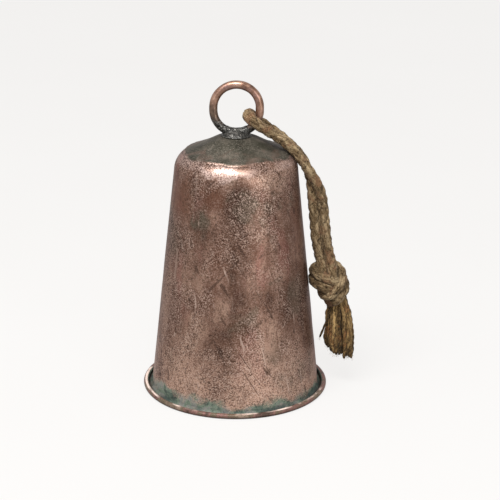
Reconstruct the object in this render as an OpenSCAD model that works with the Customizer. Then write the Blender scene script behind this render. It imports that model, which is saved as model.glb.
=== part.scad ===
// Yard dinner bell: sheet-metal bell with a brazed crown and hanging ring,
// a linked clapper, and a doubled pull rope with a knot and a tassel.
// Millimetres, +Z up, rim on z = 0, bell axis on Z, front faces -Y.

/* [Bell shell] */
// Outside diameter over the rolled rim
rim_od = 184; // [150:1:220]
// Sheet thickness of the shell
sheet_t = 1.1; // [0.8:0.1:2.0]
// Outside radius of the wall 14 mm above the rim plane
wall_foot_r = 82.2; // [66:0.1:100]
// Inward lean of the wall from vertical, in degrees
wall_lean = 6.02; // [3:0.01:9]
// Outside radius of the rounded shoulder
shoulder_r = 20.8; // [14:0.1:26]
// Height of the shoulder arc's centre
shoulder_z = 223.4; // [180:0.1:260]
// Outside diameter of the rolled bead
bead_d = 5.2; // [4:0.1:8]
// Turn of the rolled bead, in degrees
bead_turn = 268; // [200:1:290]

/* [Rim wire] */
// Wire diameter inside the rolled bead
rim_wire_d = 2.9; // [2:0.1:4]

/* [Crown] */
// Edge radius of the crown disc
crown_r = 49; // [40:0.1:55]
// Thickness of the crown disc
crown_t = 1.2; // [0.8:0.1:2.5]
// Radius of the dished seat under the ring
seat_r = 10.5; // [6:0.1:14]
// Height of the dished seat
seat_z = 255; // [230:0.1:280]

/* [Hanging ring] */
// Bar diameter of the ring
ring_bar_d = 8; // [5:0.1:12]
// Centreline radius of the ring's two halves
ring_r = 22.2; // [16:0.1:30]
// Straight length between the two halves
ring_straight = 2.4; // [0:0.1:12]
// Height of the ring's centre
ring_z = 283.4; // [260:0.1:310]

/* [Clapper staple and link] */
// Wire diameter of the staple
staple_d = 4; // [3:0.1:6]
// Centreline radius of the staple's bend
staple_r = 9; // [7:0.1:12]
// Lowest centreline height of the staple
staple_z = 236; // [225:0.1:245]
// Wire diameter of the link
link_d = 3.2; // [2.4:0.1:5]
// Centreline radius of the link's two bends
link_r = 6.5; // [5:0.1:9]
// Height of the clapper's pivot on the link
pivot_z = 222; // [205:0.1:228]
// Free play between the hanging loops
loop_play = 0.3; // [0.2:0.05:1]

/* [Clapper] */
// Rod diameter
rod_d = 6; // [4:0.1:8]
// Centreline radius of the rod's eye
eye_r = 6.5; // [5:0.1:9]
// Bob diameter
bob_d = 41; // [30:0.5:50]
// Height of the bob's centre
bob_z = 48; // [40:0.5:70]
// Height of the rod's lower end
rod_end_z = 17.5; // [12:0.1:24]
// Bore of the bob and the washers
bob_bore_d = 6.4; // [5:0.1:9]
// Width across flats of the two nuts
nut_af = 10; // [8:0.5:13]
// Height of the two nuts
nut_h = 5; // [3:0.1:7]
// Outside diameter of the two washers
washer_d = 12.5; // [10:0.1:18]
// Thickness of the two washers
washer_t = 1.6; // [1:0.1:2.5]
// Diameter of the flats on the bob where the washers sit
bob_flat_d = 14; // [13:0.1:20]

/* [Rope] */
// Rope diameter
rope_d = 9.5; // [6:0.1:12]
// Place of the rope on the ring, in degrees below its centre
rope_at = 30; // [15:1:50]
// Slope of the rope where it leaves the ring, in degrees
rope_leave = 37; // [20:1:50]
// Gap kept between the rope's bend and the bar
rope_gap = 0.9; // [0.2:0.05:2]
// Outside radius of the knot's upper turn
knot_top_r = 18.6; // [14:0.1:22]
// Outside radius of the knot's lower turn
knot_low_r = 16; // [12:0.1:20]
// Largest radius of the tassel
tassel_r = 16; // [12:0.1:20]
// Height of the tassel's lower end
tassel_z = 30; // [20:0.5:45]

/* [Hidden] */
$fn = 64;

copper = [0.56, 0.42, 0.36];
dark_copper = [0.36, 0.33, 0.29];
braze = [0.35, 0.36, 0.35];
steel = [0.45, 0.44, 0.43];
jute = [0.49, 0.43, 0.31];

// Bell shell, as a middle line in [radius, height] that is thickened both ways
half_t = sheet_t / 2;
lean_tan = tan(wall_lean);
bead_mid = (bead_d - sheet_t) / 2;
bead_x = rim_od / 2 - bead_d / 2;
bead_z = bead_d / 2;
cove_top_z = 5.9;
cove_r = (cove_top_z - half_t) / (1 - sin(wall_lean));
cove_x = mid_r(cove_top_z) + cove_r * cos(wall_lean);
cove_z = half_t + cove_r;
shoulder_mid = shoulder_r - half_t;
shoulder_x = mid_r(shoulder_z + shoulder_mid * sin(wall_lean)) - shoulder_mid * cos(wall_lean);
shoulder_end = 56;
flange_in_r = 43;

function mid_r(z) = wall_foot_r - half_t / cos(wall_lean) + (14 - z) * lean_tan;
function arc(cx, cz, r, a0, a1, n) =
  [for (i = [0 : n]) let (a = a0 + (a1 - a0) * i / n) [cx + r * cos(a), cz + r * sin(a)]];

// Crown top: a dished seat, a convex dome and a hollow skirt
dome_r = 58;
dome_z = 258.6;
skirt_r = 128;
turn_x = 28;
turn_z = dome_z - dome_r + sqrt(dome_r * dome_r - turn_x * turn_x);
turn_slope = turn_x / sqrt(dome_r * dome_r - turn_x * turn_x);
skirt_n = sqrt(1 + turn_slope * turn_slope);
skirt_cx = turn_x + skirt_r * turn_slope / skirt_n;
skirt_cz = turn_z + skirt_r / skirt_n;
lip_r = 15.5;

function crown_z(x) =
  x > turn_x ? skirt_cz - sqrt(skirt_r * skirt_r - (x - skirt_cx) * (x - skirt_cx))
  : x > lip_r ? dome_z - dome_r + sqrt(dome_r * dome_r - x * x)
  : x > seat_r ? seat_z + (crown_z(lip_r + 0.001) - seat_z) * (1 - cos(180 * (x - seat_r) / (lip_r - seat_r))) / 2
  : seat_z;

crown_stations = [
  for (x = [seat_r : 1 : lip_r]) x,
  for (x = [16 : 2 : 28]) x,
  for (x = [31 : 3 : 46]) x,
  crown_r
];
crown_lift = 0.4;
crown_drop = crown_t * 1.08;
flange_gap = 0.03;
function flange_z(x) = crown_z(x) + crown_lift - crown_drop - flange_gap - half_t * 1.08;

shell_path = concat(
  arc(bead_x, bead_z, bead_mid, -90 + bead_turn, -90, 22),
  arc(cove_x, cove_z, cove_r, 270, 180 + wall_lean, 8),
  arc(shoulder_x, shoulder_z, shoulder_mid, wall_lean, shoulder_end, 10),
  [for (x = [48.4, 46.7, flange_in_r]) [x, flange_z(x)]]
);

function unit2(v) = v / norm(v);
function path_normal(p, i) =
  let (
    a = unit2(p[min(i + 1, len(p) - 1)] - p[i] + (i == len(p) - 1 ? p[i] - p[i - 1] : [0, 0])),
    b = unit2(p[i] - p[max(i - 1, 0)] + (i == 0 ? p[1] - p[0] : [0, 0])),
    t = unit2(a + b)
  )
  [t[1], -t[0]] / (t * a);
function thicken(p, h) = concat(
  [for (i = [0 : len(p) - 1]) p[i] + h * path_normal(p, i)],
  [for (i = [len(p) - 1 : -1 : 0]) p[i] - h * path_normal(p, i)]
);

module bell_shell() {
  color(copper)
    rotate_extrude() polygon(thicken(shell_path, half_t));
}

module rim_wire() {
  color(steel)
    translate([0, 0, bead_z])
      rotate_extrude() translate([bead_x, 0]) circle(d = rim_wire_d);
}

module crown_disc() {
  top = [for (x = crown_stations) [x, crown_z(x) + crown_lift]];
  low = [for (i = [len(top) - 1 : -1 : 0]) [top[i][0], top[i][1] - crown_drop]];
  color(dark_copper)
    rotate_extrude()
      polygon(concat([[0, seat_z + crown_lift]], top, low, [[0, seat_z + crown_lift - crown_drop]]));
}

// Fillet of braze in the step between the crown's edge and the shoulder
braze_w = 2.6;
function shoulder_top(x) =
  shoulder_z + sqrt(shoulder_r * shoulder_r - (x - shoulder_x) * (x - shoulder_x));

module crown_braze() {
  x0 = crown_r + 0.02;
  z1 = crown_z(crown_r) + crown_lift - 0.1;
  color(braze)
    rotate_extrude()
      polygon([
        [x0, z1], [x0, z1 - 0.5], [x0 + 0.7, shoulder_top(x0 + 0.7) + 0.06],
        [x0 + 1.6, shoulder_top(x0 + 1.6) + 0.06], [x0 + braze_w, shoulder_top(x0 + braze_w) + 0.06],
        [x0 + 1.3, shoulder_top(x0 + 1.3) + 0.3]
      ]);
}

module half_ring(r, d) {
  rotate([90, 0, 0])
    rotate_extrude(angle = 180) translate([r, 0]) circle(d = d);
}

// A closed oval of round bar that stands in the XZ plane, centred on the origin
module oval(r, d, straight) {
  union() {
    translate([0, 0, straight / 2]) half_ring(r, d);
    translate([0, 0, -straight / 2]) rotate([0, 180, 0]) half_ring(r, d);
    for (x = [-r, r])
      translate([x, 0, -straight / 2]) cylinder(h = straight, d = d);
  }
}

module hanging_ring() {
  color(dark_copper)
    translate([0, 0, ring_z]) oval(ring_r, ring_bar_d, ring_straight);
}

// Braze saddle: a mound over the seat and its lip that the ring's foot runs through
saddle_r = 15;
saddle_gap = 0.05;
saddle_foot = [
  for (i = [len(crown_stations) - 1 : -1 : 0])
    let (x = crown_stations[i])
    if (x < saddle_r) [x, crown_z(x) + crown_lift + saddle_gap]
];

module ring_braze() {
  color(braze)
    difference() {
      rotate_extrude()
        polygon(concat(
          [
            [0, 262.8], [3, 262.6], [6, 262], [9.5, 260.6], [12.5, 258.6],
            [saddle_r - 0.3, crown_z(saddle_r) + crown_lift + 0.9],
            [saddle_r, crown_z(saddle_r) + crown_lift + saddle_gap]
          ],
          saddle_foot,
          [[0, seat_z + crown_lift + saddle_gap]]
        ));
      translate([0, 0, ring_z]) oval(ring_r, ring_bar_d + 0.04, ring_straight);
    }
}

staple_top = seat_z + crown_lift - crown_drop - 0.03;
staple_bend_z = staple_z + staple_r;

module clapper_staple() {
  color(steel)
    union() {
      translate([0, 0, staple_bend_z]) rotate([0, 180, 0]) half_ring(staple_r, staple_d);
      for (x = [-staple_r, staple_r])
        translate([x, 0, staple_bend_z]) cylinder(h = staple_top - staple_bend_z, d = staple_d);
    }
}

module staple_braze() {
  bead_h = 2.4;
  color(braze)
    for (x = [-staple_r, staple_r])
      translate([x, 0, staple_top - bead_h])
        rotate_extrude()
          polygon([
            [staple_d / 2 + 0.02, 0], [staple_d / 2 + 0.9, 0.9], [staple_d / 2 + 1.9, bead_h - 0.05],
            [staple_d / 2 + 0.02, bead_h - 0.05]
          ]);
}

link_top_z = staple_z + staple_d / 2 + link_d / 2 + loop_play;
link_straight = link_top_z - pivot_z - 2 * link_r;

module clapper_link() {
  color(steel)
    translate([0, 0, (link_top_z + pivot_z) / 2])
      rotate([0, 0, 90]) oval(link_r, link_d, link_straight);
}

eye_top_z = pivot_z + link_d / 2 + rod_d / 2 + loop_play;
eye_z = eye_top_z - eye_r;

module clapper_rod() {
  color(steel)
    union() {
      translate([0, 0, eye_z])
        rotate([90, 0, 0]) rotate_extrude() translate([eye_r, 0]) circle(d = rod_d);
      translate([0, 0, rod_end_z + 1])
        cylinder(h = eye_z - eye_r - rod_end_z, d = rod_d);
      translate([0, 0, rod_end_z])
        cylinder(h = 1, d1 = rod_d - 1.6, d2 = rod_d);
    }
}

bob_half = sqrt(bob_d * bob_d - bob_flat_d * bob_flat_d) / 2;

module clapper_bob() {
  color(steel)
    translate([0, 0, bob_z])
      difference() {
        intersection() {
          sphere(d = bob_d);
          cylinder(h = 2 * bob_half, d = bob_d + 2, center = true);
        }
        cylinder(h = bob_d + 2, d = bob_bore_d, center = true);
      }
}

seat_gap = 0.02;
washer_off = bob_half + seat_gap;
nut_off = washer_off + washer_t + seat_gap;

module bob_washers() {
  color(steel)
    for (s = [-1, 1])
      translate([0, 0, bob_z + s * (washer_off + washer_t / 2)])
        difference() {
          cylinder(h = washer_t, d = washer_d, center = true);
          cylinder(h = washer_t + 1, d = bob_bore_d, center = true);
        }
}

module hex_nut() {
  difference() {
    intersection() {
      cylinder(h = nut_h, d = nut_af / cos(30), $fn = 6, center = true);
      union() {
        cylinder(h = nut_h - 1.2, d = nut_af / cos(30) + 1, center = true);
        for (m = [0, 1])
          mirror([0, 0, m])
            translate([0, 0, nut_h / 2 - 0.6])
              cylinder(h = 0.6, d1 = nut_af / cos(30) + 1, d2 = nut_af - 0.3);
      }
    }
    cylinder(h = nut_h + 1, d = rod_d + 0.06, center = true);
  }
}

module bob_nuts() {
  color(steel)
    for (s = [-1, 1])
      translate([0, 0, bob_z + s * (nut_off + nut_h / 2)]) hex_nut();
}

// Rope: a doubled rope round the ring's bar, as rows of
// [x and z of the pair's middle, half the gap of the two legs, turn of the pair]
rope_bend = ring_bar_d / 2 + rope_d / 2 + rope_gap;
touch = rope_d / 2 + 0.05;
bar_x = ring_r * cos(rope_at);
bar_z = ring_z - ring_straight / 2 - ring_r * sin(rope_at);
pair = [
  [bar_x, bar_z, rope_bend, 0],
  [26, 266, 8.8, 0],
  [34, 261, 7, 0],
  [42, 255.5, 5.7, 0],
  [50, 249, 5, 0],
  [57.2, 242.2, touch, 0],
  [64.2, 233, touch, 0],
  [70.2, 222.5, touch, 10],
  [74.6, 212.5, touch, 30],
  [77.6, 202.5, touch, 55],
  [79.8, 190, touch, 80],
  [81.8, 172, touch, 90],
  [84, 152, touch, 90],
  [87, 137, touch, 90],
  [91, 121, touch, 90]
];
last_row = len(pair) - 1;
rope_sides = 10;

function mix_row(t) =
  let (
    i = min(floor(t), last_row - 1),
    u = t - i,
    a = pair[max(i - 1, 0)],
    b = pair[i],
    c = pair[i + 1],
    d = pair[min(i + 2, last_row)]
  )
  (2 * b + (c - a) * u + (2 * a - 5 * b + 4 * c - d) * u * u + (3 * b - a - 3 * c + d) * u * u * u) / 2;
function row_dir(t) =
  let (d = mix_row(min(t + 0.02, last_row)) - mix_row(max(t - 0.02, 0)))
  [d[0], d[1]] / norm([d[0], d[1]]);
function leg(t, side) =
  let (
    m = mix_row(t),
    d = row_dir(t),
    out = m[2] * sin(m[3]) * side
  )
  [m[0] - d[1] * out, -m[2] * cos(m[3]) * side, m[1] + d[0] * out];
function bend(a) = [
  bar_x - rope_bend * cos(a) * cos(rope_leave),
  rope_bend * sin(a),
  bar_z + rope_bend * cos(a) * sin(rope_leave)
];
rope_route = concat(
  [for (t = [last_row : -0.5 : 0]) leg(t, 1)],
  [for (a = [-65 : 26 : 65]) bend(a)],
  [for (t = [0 : 0.5 : last_row]) leg(t, -1)]
);

rope_up = [sin(rope_leave), 0, cos(rope_leave)];
function unit3(v) = v / norm(v);
function tangent(p, i) = unit3(p[min(i + 1, len(p) - 1)] - p[max(i - 1, 0)]);
function ring_points(p, i, r, n) =
  let (
    t = tangent(p, i),
    e1 = unit3(rope_up - (rope_up * t) * t),
    e2 = cross(t, e1)
  )
  [for (k = [0 : n - 1]) p[i] + r * (cos(360 * k / n) * e1 + sin(360 * k / n) * e2)];

module tube(p, r, n) {
  m = len(p);
  points = [for (i = [0 : m - 1]) each ring_points(p, i, r, n)];
  sides = [
    for (i = [0 : m - 2])
      for (k = [0 : n - 1])
        [i * n + k, i * n + (k + 1) % n, (i + 1) * n + (k + 1) % n, (i + 1) * n + k]
  ];
  first = [for (k = [n - 1 : -1 : 0]) k];
  last = [for (k = [0 : n - 1]) (m - 1) * n + k];
  polyhedron(points, concat(sides, [first, last]));
}

module rope_loop() {
  color(jute) tube(rope_route, rope_d / 2, rope_sides);
}

module turn_of_rope(outer, bar) {
  rotate_extrude($fn = 28) translate([outer - bar, 0]) circle(r = bar, $fn = 14);
}

knot_x = 91.2;
knot_z = 117;
low_x = 97.8;
low_z = 99.5;

module rope_knot() {
  color(jute)
    hull() {
      translate([knot_x, 0, knot_z]) rotate([0, 12, 0]) turn_of_rope(knot_top_r, 9);
      translate([low_x, 0, low_z]) rotate([0, 16, 0]) turn_of_rope(knot_low_r, 7.6);
    }
}

tassel_x = 103.6;
tassel_top = 92;

module rope_tassel() {
  color(jute)
    translate([tassel_x, 0, 0])
      rotate_extrude()
        polygon([
          [0, tassel_z], [tassel_r - 3, tassel_z], [tassel_r - 0.8, tassel_z + 4],
          [tassel_r, tassel_z + 17], [tassel_r - 1.6, tassel_z + 31], [11.2, 80], [10, tassel_top],
          [0, tassel_top]
        ]);
}

bell_shell();
rim_wire();
crown_disc();
crown_braze();
hanging_ring();
ring_braze();
clapper_staple();
staple_braze();
clapper_link();
clapper_rod();
clapper_bob();
bob_nuts();
bob_washers();
rope_loop();
rope_knot();
rope_tassel();
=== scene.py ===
"""Looks of the yard dinner bell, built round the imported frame. Metres, +Z up, front faces -Y."""

import math

import bpy
import numpy as np
from mathutils import Matrix, Vector, noise


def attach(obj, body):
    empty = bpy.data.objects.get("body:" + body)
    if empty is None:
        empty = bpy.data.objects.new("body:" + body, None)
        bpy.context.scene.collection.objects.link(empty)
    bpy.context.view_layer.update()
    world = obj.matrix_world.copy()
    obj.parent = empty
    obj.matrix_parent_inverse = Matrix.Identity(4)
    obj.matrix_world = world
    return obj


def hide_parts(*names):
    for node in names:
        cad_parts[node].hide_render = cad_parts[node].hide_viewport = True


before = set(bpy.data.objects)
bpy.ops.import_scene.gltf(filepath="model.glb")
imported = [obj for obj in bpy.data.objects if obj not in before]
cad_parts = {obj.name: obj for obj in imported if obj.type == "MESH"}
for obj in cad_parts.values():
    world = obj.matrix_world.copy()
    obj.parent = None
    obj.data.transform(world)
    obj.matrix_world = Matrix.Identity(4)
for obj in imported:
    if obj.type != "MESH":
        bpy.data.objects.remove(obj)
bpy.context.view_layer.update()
MM = 0.001
TAU = 2 * math.pi


# ---------------------------------------------------------------- camera
CAMERA_AT = Vector((14.0, -1466.3, 642.9)) * MM
CAMERA_PITCH = math.radians(90 - 18.9)
CAMERA_ROLL = math.radians(0.51)

camera = bpy.data.objects.new("camera", bpy.data.cameras.new("camera"))
bpy.context.scene.collection.objects.link(camera)
camera.data.lens = 113.4
camera.data.sensor_width = 36
camera.data.clip_start = 0.05
camera.matrix_world = (
    Matrix.Translation(CAMERA_AT)
    @ Matrix.Rotation(CAMERA_PITCH, 4, "X")
    @ Matrix.Rotation(CAMERA_ROLL, 4, "Z")
)
bpy.context.scene.camera = camera


# ---------------------------------------------------------------- mesh helpers
ANY_NORMAL = (0.3, 0.2, 1.0)
SPLINE_POINTS = 24


def smoothstep(low, high, x):
    t = np.clip((np.asarray(x, float) - low) / (high - low), 0, 1)
    return t * t * (3 - 2 * t)


def unit(v):
    v = np.asarray(v, float)
    return v / np.maximum(np.linalg.norm(v, axis=-1, keepdims=True), 1e-12)


def angles(sides):
    """Even steps round a circle."""
    return np.arange(sides) * TAU / sides


def turned(radius, angle, height):
    """Points at that radius and angle round Z, and at that height."""
    return np.stack(np.broadcast_arrays(radius * np.cos(angle), radius * np.sin(angle), height), -1)


def wobble(points, size, seed, octaves):
    """Smooth noise from -1 to 1 at each point, with features of about that size."""
    shift = Vector((seed * 7.31, seed * 3.17, seed * 5.71))
    out = np.empty(len(points))
    for i, p in enumerate(points):
        out[i] = noise.fractal(Vector(p) / size + shift, 1.0, 2.0, octaves)
    return out


def make_object(name, verts, faces, material):
    mesh = bpy.data.meshes.new(name)
    mesh.from_pydata(np.asarray(verts).tolist(), [], faces)
    mesh.validate()
    mesh.shade_smooth()
    mesh.materials.append(material)
    obj = bpy.data.objects.new(name, mesh)
    bpy.context.scene.collection.objects.link(obj)
    return obj


def grid_faces(rows, cols, start=0, close_rows=False):
    """Quads of a grid whose columns run round and whose rows run along."""
    r = np.arange(rows if close_rows else rows - 1)[:, None]
    c = np.arange(cols)[None, :]
    nr = (r + 1) % rows
    nc = (c + 1) % cols
    quads = np.stack([r * cols + c, r * cols + nc, nr * cols + nc, nr * cols + c], -1)
    return (quads.reshape(-1, 4) + start).tolist()


def tube_faces(rows, cols, start):
    """Quads of a tube's grid, and the two faces that close its ends."""
    last = start + (rows - 1) * cols
    ends = [list(range(start + cols - 1, start - 1, -1)), list(range(last, last + cols))]
    return grid_faces(rows, cols, start) + ends


def ring_object(name, rows, material):
    """One object from rows of points in mm, each row a circle, the last joined to the first."""
    n, sides, _ = rows.shape
    return make_object(name, rows.reshape(-1, 3) * MM, grid_faces(n, sides, 0, True), material)


class Builder:
    """Gathers tubes and turned shapes into one mesh, with a value per vertex for the shaders."""

    def __init__(self):
        self.verts = []
        self.faces = []
        self.fibre = []
        self.tint = []
        self.count = 0

    def add(self, verts, faces, fibre=None, tint=0.5):
        verts = np.asarray(verts, float).reshape(-1, 3)
        self.verts.append(verts)
        self.faces.extend(faces)
        self.fibre.append(np.zeros((len(verts), 3)) if fibre is None else fibre.reshape(-1, 3))
        self.tint.append(np.broadcast_to(np.asarray(tint, float), (len(verts),)))
        self.count += len(verts)

    def rings(self, rows):
        """Rows of points in mm, each row a circle, the last joined to the first."""
        n, sides, _ = rows.shape
        self.add(rows * MM, grid_faces(n, sides, self.count, True))

    def tube(self, path, radius, sides, normal=ANY_NORMAL, closed=False, tint=0.5):
        """A round tube along path. radius is one per point, or one per point and side."""
        n = len(path)
        _, e1, e2 = frames(path, closed, normal)
        a = angles(sides)
        r = np.broadcast_to(radius.reshape(-1, 1) if radius.ndim < 2 else radius, (n, sides))
        ring = np.cos(a)[None, :, None] * e1[:, None] + np.sin(a)[None, :, None] * e2[:, None]
        verts = path[:, None] + ring * r[..., None]
        fibre = turned(1, a[None], run_along(path)[:, None] / MM)
        join = grid_faces(n, sides, self.count, True) if closed else tube_faces(n, sides, self.count)
        self.add(verts, join, fibre, tint)

    def object(self, name, material):
        obj = make_object(name, np.concatenate(self.verts), self.faces, material)
        for key, kind, field, rows in (
            ("fibre", "FLOAT_VECTOR", "vector", self.fibre),
            ("tint", "FLOAT", "value", self.tint),
        ):
            layer = obj.data.attributes.new(key, kind, "POINT")
            layer.data.foreach_set(field, np.concatenate(rows).astype(np.float32).ravel())
        return obj


def frames(p, closed=False, normal=ANY_NORMAL):
    """Tangents and two turning-free normals along a path."""
    if closed:
        t = unit(np.roll(p, -1, 0) - np.roll(p, 1, 0))
    else:
        t = unit(np.gradient(p, axis=0))
    seed = np.asarray(normal, float)
    e = np.empty_like(p)
    last = unit(seed - t[0] * (seed @ t[0]))
    for i in range(len(p)):
        last = unit(last - t[i] * (last @ t[i]))
        e[i] = last
    if closed:
        back = unit(last - t[0] * (last @ t[0]))
        twist = math.atan2(np.cross(back, e[0]) @ t[0], back @ e[0])
        a = np.linspace(0, twist, len(p), endpoint=False)[:, None]
        e = e * np.cos(a) + np.cross(t, e) * np.sin(a)
    return t, e, np.cross(t, e)


def run_along(p):
    """How far along the path each of its points is."""
    return np.concatenate([[0], np.cumsum(np.linalg.norm(np.diff(p, axis=0), axis=1))])


def resample(p, step):
    """The same path with a point about every step. Columns after the third are carried along."""
    run = run_along(p[:, :3])
    n = max(2, int(round(run[-1] / step)) + 1)
    at = np.linspace(0, run[-1], n)
    return np.stack([np.interp(at, run, p[:, k]) for k in range(p.shape[1])], 1)


def spline(points, step):
    """A smooth curve through points, with a point about every step."""
    p = np.asarray(points, float)
    p = np.vstack([2 * p[0] - p[1], p, 2 * p[-1] - p[-2]])
    u = np.linspace(0, 1, SPLINE_POINTS, endpoint=False)[:, None]
    out = []
    for i in range(1, len(p) - 2):
        a, b, c, d = p[i - 1 : i + 3]
        square = 2 * a - 5 * b + 4 * c - d
        cube = 3 * b - a - 3 * c + d
        out.append((2 * b + (c - a) * u + square * u**2 + cube * u**3) / 2)
    return resample(np.vstack(out + [p[-2:-1]]), step)


def arc(cx, cz, r, a0, a1, n):
    a = np.radians(np.linspace(a0, a1, n + 1))
    return np.stack([cx + r * np.cos(a), cz + r * np.sin(a)], 1)


def thicken(path, half):
    """A closed outline on both sides of an open [radius, height] path."""
    t = unit(np.gradient(path, axis=0))
    n = np.stack([t[:, 1], -t[:, 0]], 1)
    return np.vstack([path + n * half, (path - n * half)[::-1]])


def revolve(outline, sides):
    """Points of a closed [radius, height] outline turned round Z, one row per outline point."""
    o = np.asarray(outline, float)
    return turned(o[:, :1], angles(sides), o[:, 1:])


def put_on(piece, node, body="bell"):
    """Puts a piece on its body, in the place of its CAD node."""
    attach(piece, body)
    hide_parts(node)


# ---------------------------------------------------------------- shader helpers
def linear(value):
    """A shader socket as it is, or an sRGB colour of 0 to 255 as a linear one."""
    if isinstance(value, bpy.types.NodeSocket):
        return value
    parts = [c / 255 for c in value]
    return (*(c / 12.92 if c <= 0.04045 else ((c + 0.055) / 1.055) ** 2.4 for c in parts), 1.0)


class Shader:
    """A procedural Principled material. Its colours are sRGB, 0 to 255."""

    def __init__(self, name, metallic=0.0, roughness=0.5, **fixed):
        self.material = bpy.data.materials.new(name)
        self.material.use_nodes = True
        self.tree = self.material.node_tree
        self.bsdf = self.tree.nodes["Principled BSDF"]
        self.bsdf.inputs["Metallic"].default_value = metallic
        self.bsdf.inputs["Roughness"].default_value = roughness
        for key, value in fixed.items():
            self.bsdf.inputs[key.replace("_", " ")].default_value = value
        self.place = self.node("ShaderNodeTexCoord").outputs["Object"]

    def node(self, kind, **settings):
        n = self.tree.nodes.new(kind)
        for key, value in settings.items():
            setattr(n, key, value)
        return n

    def feed(self, socket, value):
        if isinstance(value, bpy.types.NodeSocket):
            self.tree.links.new(value, socket)
        else:
            socket.default_value = value

    def fill(self, node, **values):
        """Feeds a node's inputs by name."""
        for key, value in values.items():
            self.feed(node.inputs[key.replace("_", " ")], value)
        return node.outputs

    def attribute(self, name, output="Fac"):
        return self.node("ShaderNodeAttribute", attribute_name=name).outputs[output]

    def axis(self, name):
        """The place's X, Y or Z."""
        return self.fill(self.node("ShaderNodeSeparateXYZ"), Vector=self.place)[name]

    def vector(self, operation, *values, output="Vector"):
        n = self.node("ShaderNodeVectorMath", operation=operation)
        for socket, value in zip(n.inputs, values, strict=False):
            self.feed(socket, value)
        return n.outputs[output]

    def length(self, vector):
        return self.vector("LENGTH", vector, output="Value")

    def stretch(self, scale, vector=None):
        return self.vector("MULTIPLY", vector or self.place, scale)

    def noise(self, scale, detail=2.0, rough=0.5, vector=None, distortion=0.0, output="Fac"):
        n = self.node("ShaderNodeTexNoise")
        vector = vector or self.place
        return self.fill(
            n, Vector=vector, Scale=scale, Detail=detail, Roughness=rough, Distortion=distortion
        )[output]

    def span(self, value, low, high, out_low=0.0, out_high=1.0, smooth=True):
        n = self.node("ShaderNodeMapRange", interpolation_type="SMOOTHSTEP" if smooth else "LINEAR")
        ends = {"From_Min": low, "From_Max": high, "To_Min": out_low, "To_Max": out_high}
        return self.fill(n, Value=value, **ends)["Result"]

    def math(self, operation, a, b=0.0):
        n = self.node("ShaderNodeMath", operation=operation)
        self.feed(n.inputs[0], a)
        self.feed(n.inputs[1], b)
        return n.outputs[0]

    def plus(self, a, b):
        return self.math("ADD", a, b)

    def times(self, a, b):
        return self.math("MULTIPLY", a, b)

    def sway(self, value, amount):
        """Noise turned into a shift both ways, by amount for the noise's full span."""
        return self.times(self.math("SUBTRACT", value, 0.5), amount)

    def mix(self, factor, a, b):
        n = self.node("ShaderNodeMix", data_type="RGBA")
        return self.fill(n, Factor=factor, A=linear(a), B=linear(b))["Result"]

    def layers(self, colour, *rows):
        """Colour with layers over it, in order, each a [factor, colour]."""
        for factor, tint in rows:
            colour = self.mix(factor, colour, tint)
        return colour

    def ramp(self, value, *stops):
        n = self.node("ShaderNodeValToRGB")
        band = n.color_ramp
        while len(band.elements) < len(stops):
            band.elements.new(0.5)
        for element, (at, colour) in zip(band.elements, stops, strict=True):
            element.position = at
            element.color = linear(colour)
        return self.fill(n, Fac=value)["Color"]

    def bump(self, height, strength, distance, normal=None):
        n = self.node("ShaderNodeBump")
        if normal is not None:
            self.feed(n.inputs["Normal"], normal)
        return self.fill(n, Strength=strength, Distance=distance, Height=height)["Normal"]

    def finish(self, colour, roughness=None, metallic=None, normal=None):
        fed = {"Base_Color": colour, "Roughness": roughness, "Metallic": metallic, "Normal": normal}
        self.fill(self.bsdf, **{key: value for key, value in fed.items() if value is not None})
        return self.material


# ---------------------------------------------------------------- sizes repeated from the part, in mm
RIM_R = 92.0
SHEET = 1.1
HALF = SHEET / 2
WALL_FOOT_R = 82.2
WALL_FOOT_Z = 14
LEAN = 6.02
LEAN_TAN = math.tan(math.radians(LEAN))
LEAN_SIN = math.sin(math.radians(LEAN))
LEAN_COS = math.cos(math.radians(LEAN))
SHOULDER_R = 20.8
SHOULDER_Z = 223.4
SHOULDER_END = 56
BEAD_R = 2.6
BEAD_X = RIM_R - BEAD_R
BEAD_TURN = 268
COVE_TOP = 5.9
CROWN_R = 49.0
CROWN_T = 1.2
CROWN_LIFT = 0.4
CROWN_DROP = CROWN_T * 1.08
SEAT_R = 10.5
SEAT_Z = 255.0
LIP_R = 15.5
DOME_R = 58.0
DOME_Z = 258.6
SKIRT_R = 128.0
TURN_X = 28.0
RING_BAR = 4.0
RING_R = 22.2
RING_STRAIGHT = 2.4
RING_Z = 283.4
ROPE_D = 9.5
ROPE_R = ROPE_D / 2


def wall_r(z):
    """Outside radius of the wall."""
    return WALL_FOOT_R + (WALL_FOOT_Z - z) * LEAN_TAN


def mid_r(z):
    """Radius of the middle of the wall's sheet."""
    return WALL_FOOT_R - HALF / LEAN_COS + (WALL_FOOT_Z - z) * LEAN_TAN


TURN_Z = DOME_Z - DOME_R + math.sqrt(DOME_R**2 - TURN_X**2)
TURN_SLOPE = TURN_X / math.sqrt(DOME_R**2 - TURN_X**2)
SKIRT_CX = TURN_X + SKIRT_R * TURN_SLOPE / math.hypot(1, TURN_SLOPE)
SKIRT_CZ = TURN_Z + SKIRT_R / math.hypot(1, TURN_SLOPE)


def crown_z(x):
    """Height of the crown's top, before it is lifted onto the flange."""
    if x > TURN_X:
        return SKIRT_CZ - math.sqrt(SKIRT_R**2 - (x - SKIRT_CX) ** 2)
    if x > LIP_R:
        return DOME_Z - DOME_R + math.sqrt(DOME_R**2 - x * x)
    if x > SEAT_R:
        lip = crown_z(LIP_R + 0.001)
        return SEAT_Z + (lip - SEAT_Z) * (1 - math.cos(math.pi * (x - SEAT_R) / (LIP_R - SEAT_R))) / 2
    return SEAT_Z


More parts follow.
